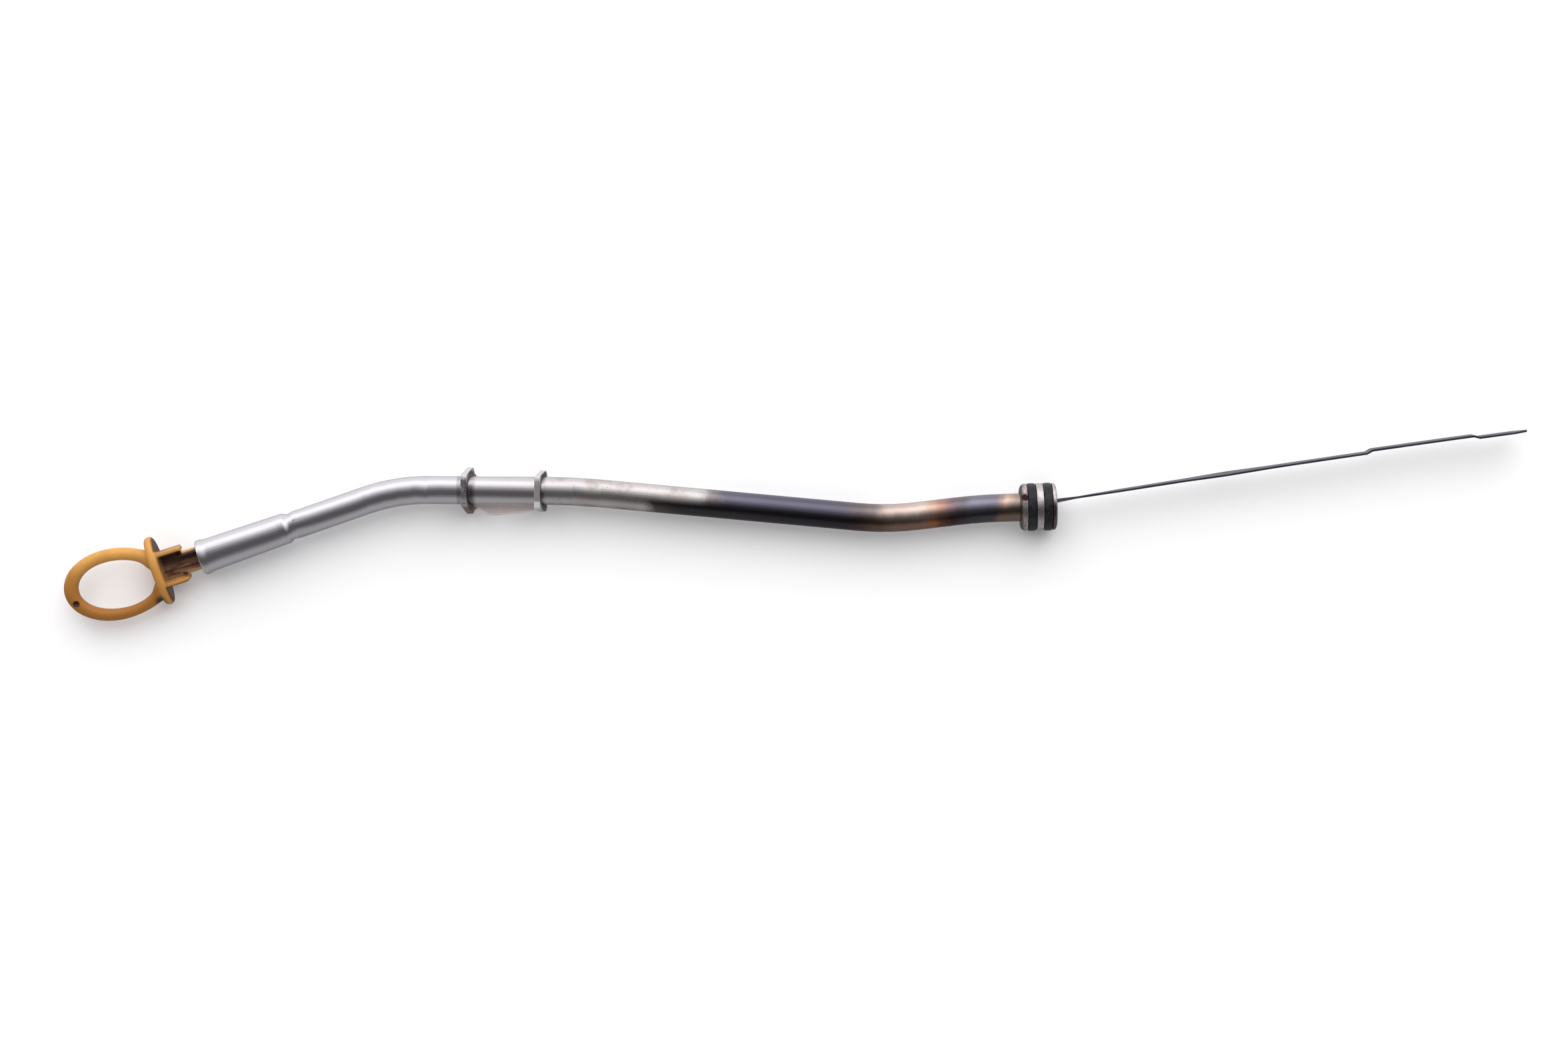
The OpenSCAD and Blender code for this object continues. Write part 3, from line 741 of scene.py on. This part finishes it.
@dataclass(frozen=True)
class BracketFinish:
    """Plated sheet steel, rust-brown at the folds and at the tube, rougher on the web and paler there as
    painted light, with painted shade on the ears' engine-side faces round the tube.
    """

    plate: Colour = (0.86, 0.84, 0.85)
    bare: Colour = (0.56, 0.545, 0.55)
    # painted light: the web's colour is raised against the tube's shadow, though its metal is the same as the
    # ears'
    web: Colour = (0.86, 0.765, 0.74)
    rust: Colour = (0.10, 0.062, 0.045)
    dark: Colour = (0.035, 0.03, 0.027)
    chafed: Colour = (0.17, 0.165, 0.175)
    browned: Colour = (0.24, 0.15, 0.085)
    # by height: where the web turns to the ears, and the folds
    web_top_mm: Span = (2.6, 1.9)
    fold_mm: Span = (8.5, 3.0)
    # worn bare: the ears' far tips, and the engine-side ear's near corner
    far_tip_mm: Span = (2.8, 4.2)
    near_corner_mm: Span = (-3.4, -4.6)
    near_corner_top_mm: Span = (9, 12)
    engine_side_mm: Span = (0, 2)
    # the handle-side ear: its crest is chafed dark over the tube, and its near tip is brown
    handle_side_mm: Span = (-9, -11)
    crest_top_mm: Span = (12.3, 13.3)
    crest_mm: Zone = (-3.6, -2.4, 3.4, 4.6)
    crest_least: float = 0.6
    crest_clouds: Patches = Patches(0.35, 0.6, 0.4)
    scrapes: Patches = Patches(0.5, 0.58, 0.8)
    near_tip_mm: Span = (-4.8, -6.4)
    near_tip_share: float = 0.75
    # painted shade: the ears' sides that face the engine are darkened round the tube
    tube_height_mm: float = 8.2
    facing_engine: Span = (0.3, 0.7)
    shaded_flank_from_mm: Span = (3, 5)
    shaded_flank_reach_mm: Span = (7.8, 6.3)
    shaded_flank_share: float = 0.95
    rust_share: float = 0.9
    fold_clouds: Patches = Patches(0.3, 0.55)
    rust_clouds: Patches = Patches(0.56, 0.7, 0.5)
    specks: Patches = Patches(0.6, 0.7, 0.55)
    cloud_mm: float = 3.2
    speck_mm: float = 0.45
    # how much of the metal's shine is lost, and the roughness
    rust_duller: float = 0.6
    # the web's lost shine lets its painted light read pale
    web_duller: float = 0.8
    bare_duller: float = 0.75
    shaded_flank_duller: float = 0.6
    satin: float = 0.4
    web_rougher: float = 0.2
    rust_rougher: float = 0.2
    speckled: float = 0.3
    bare_smoother: float = 0.1
    speck_relief: float = 0.6
    relief_mm: float = 0.03

    def material(self) -> bpy.types.Material:
        """Builds the material."""
        material, s = Shader.for_material("bracket_plated_sheet")
        p = s.place()
        x_mm, y_mm, z_mm = s.axes_mm(p)
        facing, _, _ = s.axes(s.node("ShaderNodeNewGeometry").outputs["Normal"])
        cloud = s.noise(p, self.cloud_mm, detail=4, rough=0.6)
        speck = s.noise(p, self.speck_mm, detail=3, rough=0.65)
        web = z_mm.rise(*self.web_top_mm)
        ears = 1 - web
        near = y_mm.rise(*self.near_corner_mm) * x_mm.rise(*self.engine_side_mm)
        near = near * z_mm.rise(*self.near_corner_top_mm)
        bare = y_mm.rise(*self.far_tip_mm).over(near) * ears
        # painted light: the web takes its raised colour
        colour = s.mix(bare, s.mix(web, self.plate, self.web), self.bare)
        fold = z_mm.rise(*self.fold_mm) * ears
        rusty = (fold * self.fold_clouds.of(cloud)).over(self.rust_clouds.of(cloud) * ears * (1 - bare))
        colour = s.mix(rusty * self.rust_share, colour, self.rust)

        handle_side = x_mm.rise(*self.handle_side_mm)
        crest = handle_side * z_mm.rise(*self.crest_top_mm) * y_mm.within(self.crest_mm)
        chafed = crest * (1 - self.scrapes.of(speck)) * (self.crest_least + self.crest_clouds.of(cloud))
        colour = s.mix(chafed, colour, self.chafed)
        near_tip = handle_side * y_mm.rise(*self.near_tip_mm) * self.near_tip_share
        colour = s.mix(near_tip, colour, self.browned)
        # painted shade on the ears' engine-side faces round the tube
        reach = s.distance((y_mm, z_mm), (0, self.tube_height_mm))
        dark_at_joint = facing.rise(*self.facing_engine) * z_mm.rise(*self.shaded_flank_from_mm)
        dark_at_joint = dark_at_joint * reach.rise(*self.shaded_flank_reach_mm)
        colour = s.mix(dark_at_joint * self.shaded_flank_share, colour, self.dark)
        colour = s.mix(self.specks.of(speck) * ears, colour, self.dark)

        metal = (1 - rusty * self.rust_duller) * (1 - web * self.web_duller)
        metal = metal * (1 - bare * self.bare_duller) * (1 - dark_at_joint * self.shaded_flank_duller)
        roughness = self.satin + web * self.web_rougher + rusty * self.rust_rougher
        roughness = roughness + (speck - MIDDLE) * self.speckled - bare * self.bare_smoother
        relief = s.bump(speck * self.speck_relief + cloud * (1 - self.speck_relief), self.relief_mm)
        s.surface(Base_Color=colour, Metallic=metal, Roughness=roughness, Normal=relief)
        return material


@dataclass(frozen=True)
class CollarFinish:
    """Turned steel, stained brown and spotted with rust at its heel.

    Its places are measured along the collar from the heel and across it from the axis, in millimetres.
    """

    steel: Colour = (0.82, 0.78, 0.78)
    stain: Colour = (0.36, 0.26, 0.22)
    rust: Colour = (0.045, 0.021, 0.018)
    darkened: Colour = (0.10, 0.075, 0.072)
    # how far the heel's stain reaches, and its least share there
    heel: Span = (4.2, 0.6)
    heel_least: float = 0.35
    clouds: Patches = Patches(0.42, 0.62)
    rust_specks: Patches = Patches(0.56, 0.68)
    rust_least: float = 0.25
    # darker at the heel's edge and on the near side of the nose
    darkened_heel: Span = (1.1, 0.2)
    darkened_nose: Span = (10.7, 11.0)
    darkened_side: Span = (3, 0.8)
    darkened_least: float = 0.6
    darkened_cloudy: float = 0.5
    # the dark red spot, on the upper side
    spot: Span = (1.35, 3.3)
    spot_fade: Span = (1.44, 0.96)
    spot_ragged: float = 1.2
    spot_over: Span = (0, 1)
    cloud_mm: float = 2.6
    speck_mm: float = 0.7
    tool_mark_mm: float = 0.22
    tool_mark_stretch: float = 0.02
    satin: float = 0.22
    stain_rougher: float = 0.2
    rust_rougher: float = 0.3
    rust_duller: float = 0.4
    marked: float = 0.1
    mark_relief_mm: float = 0.012
    rust_relief_mm: float = 0.02

    def material(self, pose: Matrix) -> bpy.types.Material:
        """Builds the material.

        Args:
            pose: The collar's place, with +X along its axis from heel to nose.

        Returns:
            The material.
        """
        material, s = Shader.for_material("collar_turned_steel")
        p = s.place()
        heading = math.degrees(math.atan2(pose[1][0], pose[0][0]))
        own = s.mapped(p, centre=tuple(pose.translation), turn=heading)
        along, across, over = s.axes_mm(own)
        cloud = s.noise(p, self.cloud_mm, detail=4, rough=0.65)
        speck = s.noise(p, self.speck_mm, detail=3, rough=0.6)
        heel = along.rise(*self.heel)
        stained = self.clouds.of(cloud) * (self.heel_least + heel * (1 - self.heel_least))
        stained = stained.over(heel * self.heel_least)
        colour = s.mix(stained, self.steel, self.stain)
        rusty = self.rust_specks.of(speck) * (self.rust_least + heel * (1 - self.rust_least))
        colour = s.mix(rusty, colour, self.rust)
        nose = along.rise(*self.darkened_nose) * across.rise(*self.darkened_side)
        darkened = along.rise(*self.darkened_heel).over(nose) * (self.darkened_least + cloud * self.darkened_cloudy)
        colour = s.mix(darkened, colour, self.darkened)
        spot = s.distance((along, across), self.spot) + (speck - MIDDLE) * self.spot_ragged
        colour = s.mix(spot.rise(*self.spot_fade) * over.rise(*self.spot_over), colour, self.rust)

        stretch = self.tool_mark_stretch
        marks = s.noise(s.mapped(own, scale=(1, stretch, stretch)), self.tool_mark_mm, detail=1)
        roughness = self.satin + stained * self.stain_rougher + rusty * self.rust_rougher
        roughness = roughness + (marks - MIDDLE) * self.marked
        relief = s.bump(marks, self.mark_relief_mm, s.bump(speck, self.rust_relief_mm))
        metal = 1 - rusty * self.rust_duller
        s.surface(Base_Color=colour, Metallic=metal, Roughness=roughness, Normal=relief)
        return material


@dataclass(frozen=True)
class RubberFinish:
    """Black sealing rubber, a little damp with oil."""

    name: str
    black: Colour = (0.007, 0.007, 0.009)
    dusty: Colour = (0.018, 0.0175, 0.021)
    dust: Patches = Patches(0.4, 0.7)
    film_mm: float = 2.4
    grain_mm: float = 0.2
    satin: float = 0.34
    filmy: float = 0.25
    grainy: float = 0.06
    relief_mm: float = 0.012
    index: float = 1.42

    def material(self) -> bpy.types.Material:
        """Builds the material."""
        material, s = Shader.for_material(self.name)
        p = s.place()
        film = s.noise(p, self.film_mm, detail=3, rough=0.6)
        grain = s.noise(p, self.grain_mm)
        colour = s.mix(self.dust.of(film), self.black, self.dusty)
        roughness = self.satin + (film - MIDDLE) * self.filmy + (grain - MIDDLE) * self.grainy
        relief = s.bump(grain, self.relief_mm)
        s.surface(Base_Color=colour, Roughness=roughness, Normal=relief, IOR=self.index)
        return material


def placed(name: str, data: bpy.types.ID) -> bpy.types.Object:
    """Makes an object of a mesh, a camera or a lamp, and puts it in the scene."""
    made = bpy.data.objects.new(name, data)
    bpy.context.scene.collection.objects.link(made)
    return made


@dataclass
class Workshop:
    frame: Mapping[str, Any]

    def blank(self, node: str, apart_mm: float = 0.002) -> bmesh.types.BMesh:
        """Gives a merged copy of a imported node's mesh.

        Args:
            node: The node's name.
            apart_mm: Corners closer than this become one.

        Returns:
            The mesh, ready to be worked on.
        """
        bm = bmesh.new()
        bm.from_mesh(self.frame["nodes"][node].data)
        bmesh.ops.remove_doubles(bm, verts=bm.verts, dist=apart_mm * MM)
        return bm

    def piece(self, name: str, bm: bmesh.types.BMesh, crease: float = 40) -> bpy.types.Object:
        """Turns a working mesh into a smooth-shaded object.

        Args:
            name: The object's name.
            bm: The working mesh, freed here.
            crease: Edges that bend by more than this many degrees stay sharp.

        Returns:
            The object, at the origin.
        """
        mesh = bpy.data.meshes.new(name)
        for face in bm.faces:
            face.smooth = True
        limit = math.radians(crease)
        for edge in bm.edges:
            edge.smooth = len(edge.link_faces) == 2 and edge.calc_face_angle(0) < limit
        bm.to_mesh(mesh)
        bm.free()
        return placed(name, mesh)

    def round_edges(self, piece: bpy.types.Object, voxel_mm: float, passes: int) -> None:
        """Gives a piece the small blends of a moulded or tumbled part: remeshed, then smoothed.

        Args:
            piece: The piece, changed in place.
            voxel_mm: The size of the new mesh's faces.
            passes: How often it is smoothed.
        """
        remesh = piece.modifiers.new("remesh", "REMESH")
        remesh.mode = "VOXEL"
        remesh.voxel_size = voxel_mm * MM
        smooth = piece.modifiers.new("smooth", "SMOOTH")
        smooth.factor = 0.5
        smooth.iterations = passes
        graph = bpy.context.evaluated_depsgraph_get()
        mesh = bpy.data.meshes.new_from_object(piece.evaluated_get(graph))
        piece.modifiers.clear()
        old, piece.data = piece.data, mesh
        mesh.name = piece.name
        bpy.data.meshes.remove(old)
        mesh.polygons.foreach_set("use_smooth", [True] * len(mesh.polygons))

    def finish(
        self, piece: bpy.types.Object, material: bpy.types.Material, slot: Slot, *nodes: str
    ) -> None:
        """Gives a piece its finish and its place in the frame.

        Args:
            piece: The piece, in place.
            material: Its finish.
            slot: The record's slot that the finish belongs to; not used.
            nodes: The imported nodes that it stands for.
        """
        piece.data.materials.clear()
        piece.data.materials.append(material)
        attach(piece, BODY)
        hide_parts(*nodes)
        LOG.info("%s: %d faces, stands for %s", piece.name, len(piece.data.polygons), ", ".join(nodes))


@dataclass
class GuideTube:
    """The bent tube with its swaged bell."""

    shop: Workshop
    finish: TubeFinish = TubeFinish()
    ring_step_mm: float = 5.0
    # the bell's root, its heading, and the height of its axis
    root_mm: Vector3 = (-73.56, -13.0, 8.2)
    heading: float = 19.6
    # the shoulder, by distance from the root: the lead-in, its fall, its neck, and where the tube begins
    lead_mm: float = -3.7
    fall_mm: float = -1.7
    neck_mm: float = 0.5
    rise_mm: float = 2.3
    bell_radius_mm: float = 5.36
    neck_radius_mm: float = 4.5
    tube_radius_mm: float = 4.75
    # what lies closer to the axis is the bore, which stays as it is
    inner_radius_mm: float = 4.56
    cut_mm: float = 0.25

    def build(self) -> None:
        """Makes the tube, cut into short rings so that its shading stays even along the straights."""
        bm = self.shop.blank("guide_tube")
        low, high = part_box("guide_tube")
        step = self.ring_step_mm * MM
        for i in range(1, int((high.x - low.x) / step)):
            self._cut(bm, Vector((low.x + i * step, 0, 0)), Vector((1, 0, 0)))
        self._pinch_shoulder(bm)
        tube = self.shop.piece("guide_tube_wall", bm)
        self.shop.finish(tube, self.finish.material(), Slot.TUBE, "guide_tube")

    @staticmethod
    def _cut(bm: bmesh.types.BMesh, at: Vector, normal: Vector) -> None:
        """Cuts all faces that a plane passes through."""
        geometry = bm.verts[:] + bm.edges[:] + bm.faces[:]
        bmesh.ops.bisect_plane(bm, geom=geometry, dist=ON_PLANE, plane_co=at, plane_no=normal)

    def _pinch_shoulder(self, bm: bmesh.types.BMesh) -> None:
        """Tightens the swaged shoulder to the round step and the narrow neck that the rolling tool leaves."""
        root = Vector(self.root_mm) * MM
        angle = math.radians(self.heading)
        axis = Vector((math.cos(angle), math.sin(angle), 0))
        for i in range(int((self.rise_mm - self.lead_mm) / self.cut_mm) + 1):
            self._cut(bm, root + axis * (self.lead_mm + i * self.cut_mm) * MM, axis)
        for vert in bm.verts:
            along = (vert.co - root).dot(axis)
            foot = root + axis * along
            out = vert.co - foot
            on_shoulder = self.lead_mm <= along / MM <= self.rise_mm
            if on_shoulder and self.inner_radius_mm < out.length / MM < 2 * self.bell_radius_mm:
                vert.co = foot + out.normalized() * self._shoulder_radius(along / MM) * MM

    def _shoulder_radius(self, along_mm: float) -> float:
        """Gives the outer radius at a distance from the bell's root, in millimetres."""
        if along_mm < self.neck_mm:
            start, end = (self.fall_mm, self.bell_radius_mm), (self.neck_mm, self.neck_radius_mm)
        else:
            start, end = (self.neck_mm, self.neck_radius_mm), (self.rise_mm, self.tube_radius_mm)
        share = min(max((along_mm - start[0]) / (end[0] - start[0]), 0), 1)
        eased = (1 - math.cos(math.pi * share)) / 2
        return start[1] + (end[1] - start[1]) * eased


@dataclass
class Gauge:
    """The moulded handle, the steel strip and the stem's seal."""

    shop: Workshop
    plastic: PlasticFinish = PlasticFinish()
    strip: StripFinish = StripFinish()
    rubber: RubberFinish = RubberFinish("seal_black_rubber")
    voxel_mm: float = 0.21
    passes: int = 6

    def build(self) -> None:
        """Makes the handle and the strip, and dresses the hidden seal."""
        handle = self.shop.piece("ring_handle", self.shop.blank("handle"))
        self.shop.round_edges(handle, self.voxel_mm, self.passes)
        self.shop.finish(handle, self.plastic.material(), Slot.PLASTIC, "handle")
        blade = self.shop.piece("gauge_strip", self.shop.blank("gauge_blade"), crease=30)
        self.shop.finish(blade, self.strip.material(), Slot.STRIP, "gauge_blade")
        dress(self.shop.frame["nodes"]["stem_seal"], self.rubber.material())


@dataclass
class Bracket:
    """The folded sheet that carries the tube."""

    shop: Workshop
    finish: BracketFinish = BracketFinish()
    voxel_mm: float = 0.16
    passes: int = 3

    def build(self) -> None:
        """Makes the bracket with worn edges."""
        bracket = self.shop.piece("folded_bracket", self.shop.blank("mounting_bracket"))
        self.shop.round_edges(bracket, self.voxel_mm, self.passes)
        self.shop.finish(bracket, self.finish.material(), Slot.BRACKET, "mounting_bracket")


@dataclass
class EndCollar:
    """The turned collar and its two sealing rings."""

    shop: Workshop
    steel: CollarFinish = CollarFinish()
    rubber: RubberFinish = RubberFinish("ring_black_rubber")
    edge_mm: float = 0.12
    # edges that bend by more than this many degrees are broken
    sharp: float = 50

    def pose(self) -> Matrix:
        """Gives the collar's place, at its heel, with +X to its nose."""
        seat = next(m for m in self.shop.frame["record"]["mounts"] if m["name"] == "block_seat")
        axis = Vector(seat["axis"])
        low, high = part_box("end_collar")
        middle = Vector(seat["pos_m"])
        length = (high.x - low.x) * axis.x
        heel = middle - axis * length / 2
        return Matrix.Translation(heel) @ axis.to_track_quat("X", "Z").to_matrix().to_4x4()

    def build(self) -> None:
        """Makes the collar with broken edges, and the rings."""
        bm = self.shop.blank("end_collar")
        limit = math.radians(self.sharp)
        sharp = [e for e in bm.edges if len(e.link_faces) == 2 and e.calc_face_angle(0) > limit]
        shape = {"offset": self.edge_mm * MM, "segments": 2, "profile": 0.5}
        bmesh.ops.bevel(bm, geom=sharp, affect="EDGES", material=-1, clamp_overlap=True, **shape)
        collar = self.shop.piece("turned_collar", bm, crease=self.sharp)
        self.shop.finish(collar, self.steel.material(self.pose()), Slot.COLLAR, "end_collar")
        material = self.rubber.material()
        for node, name in (("o_ring_upper", "sealing_ring_upper"), ("o_ring_lower", "sealing_ring_lower")):
            ring = self.shop.piece(name, self.shop.blank(node))
            self.shop.finish(ring, material, Slot.RING, node)


def dress(node: bpy.types.Object, material: bpy.types.Material) -> None:
    """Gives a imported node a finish, without touching its mesh."""
    for holder in node.material_slots:
        holder.material = material
    if not node.material_slots:
        node.data.materials.append(material)


@dataclass
class Studio:
    """Camera, floor and light."""

    # the photograph: its width in pixels, its centre, where the frame's origin is in it, and its scale
    width_px: float = 2352
    centre_px: Tuple[float, float] = (1176, 784)
    origin_px: Tuple[float, float] = (756.8, 736.0)
    px_per_mm: float = 4.37
    roll: float = 0.4
    distance: float = 1.046
    plane_mm: float = 8.2
    sensor_mm: float = 36
    floor_size: float = 12
    floor_drop_mm: float = 0.02
    wall_height: float = 3
    wall_sides: int = 96
    pale: Colour = (0.93, 0.93, 0.935)
    # the soft lamps over the far side and the near side: angle from straight up towards +Y, and power
    lamps: Tuple[Tuple[str, float, float], ...] = (("far_lamp", 42, 45), ("near_lamp", -52, 14))
    lamp_distance: float = 1.8
    lamp_size: float = 2.6
    # what surrounds the object, by the angle round the X axis from straight up towards +Y, in degrees
    surroundings: Sequence[Tuple[float, float]] = (
        (-180, 0.20),
        (-140, 0.24),
        (-105, 0.35),
        (-76, 0.34),
        (-58, 0.20),
        (-42, 0.09),
        (-15, 0.085),
        (0, 0.14),
        (18, 0.36),
        (38, 0.80),
        (52, 1.20),
        (72, 1.24),
        (94, 0.88),
        (125, 0.80),
        (155, 0.60),
        (180, 0.20),
    )
    tint: Colour = (1.0, 0.985, 1.0)

    def build(self) -> None:
        """Makes the camera, the floor and the world."""
        self._camera()
        self._floor()
        self._world()
        for name, angle, watts in self.lamps:
            self._lamp(name, angle, watts)

    @property
    def middle_x(self) -> float:
        """The place along X of the photograph's centre."""
        return (self.centre_px[0] - self.origin_px[0]) / self.px_per_mm * MM

    def _camera(self) -> None:
        """Puts the camera over the plane of the bends, as the photograph was taken."""
        data = bpy.data.cameras.new("camera")
        data.sensor_width = self.sensor_mm
        seen = self.width_px / self.px_per_mm * MM
        data.lens = self.sensor_mm * self.distance / seen
        camera = placed("camera", data)
        turn = Matrix.Rotation(math.radians(self.roll), 4, "Z")
        up = (self.origin_px[1] - self.centre_px[1]) / self.px_per_mm * MM
        height = self.plane_mm * MM + self.distance
        camera.matrix_world = turn @ Matrix.Translation((self.middle_x, up, height))
        bpy.context.scene.camera = camera

    def _floor(self) -> None:
        """Lays the pale floor, which keeps the object's shadow, and the pale wall far round it."""
        material, shader = Shader.for_material("studio_pale")
        matt = shader.node("ShaderNodeBsdfDiffuse", inputs={"Color": (*self.pale, 1)})
        shader.node("ShaderNodeOutputMaterial", inputs={"Surface": matt.outputs[0]})
        half = self.floor_size / 2
        ground = bmesh.new()
        bmesh.ops.create_grid(ground, x_segments=1, y_segments=1, size=half)
        wall = bmesh.new()
        bmesh.ops.create_circle(wall, segments=self.wall_sides, radius=half)
        rim = bmesh.ops.extrude_edge_only(wall, edges=wall.edges[:])["geom"]
        raised = [part for part in rim if isinstance(part, bmesh.types.BMVert)]
        bmesh.ops.translate(wall, verts=raised, vec=(0, 0, self.wall_height))
        for name, bm in (("floor", ground), ("backdrop", wall)):
            mesh = bpy.data.meshes.new(name)
            bm.to_mesh(mesh)
            bm.free()
            mesh.materials.append(material)
            made = placed(name, mesh)
            made.location.z = -self.floor_drop_mm * MM
            # the polished metal shows the soft panels that surround it, below the level of the floor too
            made.visible_glossy = False
            if name == "backdrop":
                made.visible_diffuse = made.visible_shadow = False

    def _world(self) -> None:
        """Surrounds the object with long soft panels that run along X."""
        world = bpy.data.worlds.new("studio")
        world.use_nodes = True
        bpy.context.scene.world = world
        s = Shader(world.node_tree)
        _, y, z = s.axes(s.node("ShaderNodeTexCoord").outputs["Generated"])
        turned = s.maths("ARCTAN2", y, z) / (2 * math.pi) + 0.5
        stops = [(a / 360 + 0.5, tuple(level * c for c in self.tint)) for a, level in self.surroundings]
        back = s.node("ShaderNodeBackground", inputs={"Color": s.ramp(turned, stops), "Strength": 1.0})
        s.node("ShaderNodeOutputWorld", inputs={"Surface": back.outputs[0]})

    def _lamp(self, name: str, angle: float, watts: float) -> None:
        """Hangs a large soft lamp that lights what is matt.

        Args:
            name: The lamp's name.
            angle: Its angle from straight up towards +Y, in degrees.
            watts: Its power.
        """
        data = bpy.data.lights.new(name, "AREA")
        data.size = self.lamp_size
        data.energy = watts
        lamp = placed(name, data)
        lamp.visible_glossy = False
        tilt = Matrix.Rotation(math.radians(-angle), 4, "X")
        away = Matrix.Translation((0, 0, self.lamp_distance))
        lamp.matrix_world = Matrix.Translation((self.middle_x, 0, 0)) @ tilt @ away


def main() -> None:
    """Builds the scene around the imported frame."""
    logging.basicConfig(level=logging.INFO, format="%(name)s: %(message)s")
    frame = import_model()
    bpy.context.scene.view_settings.view_transform = "Standard"
    shop = Workshop(frame)
    Studio().build()
    for assembly in (GuideTube(shop), Gauge(shop), Bracket(shop), EndCollar(shop)):
        assembly.build()


if __name__ == "__main__":
    main()
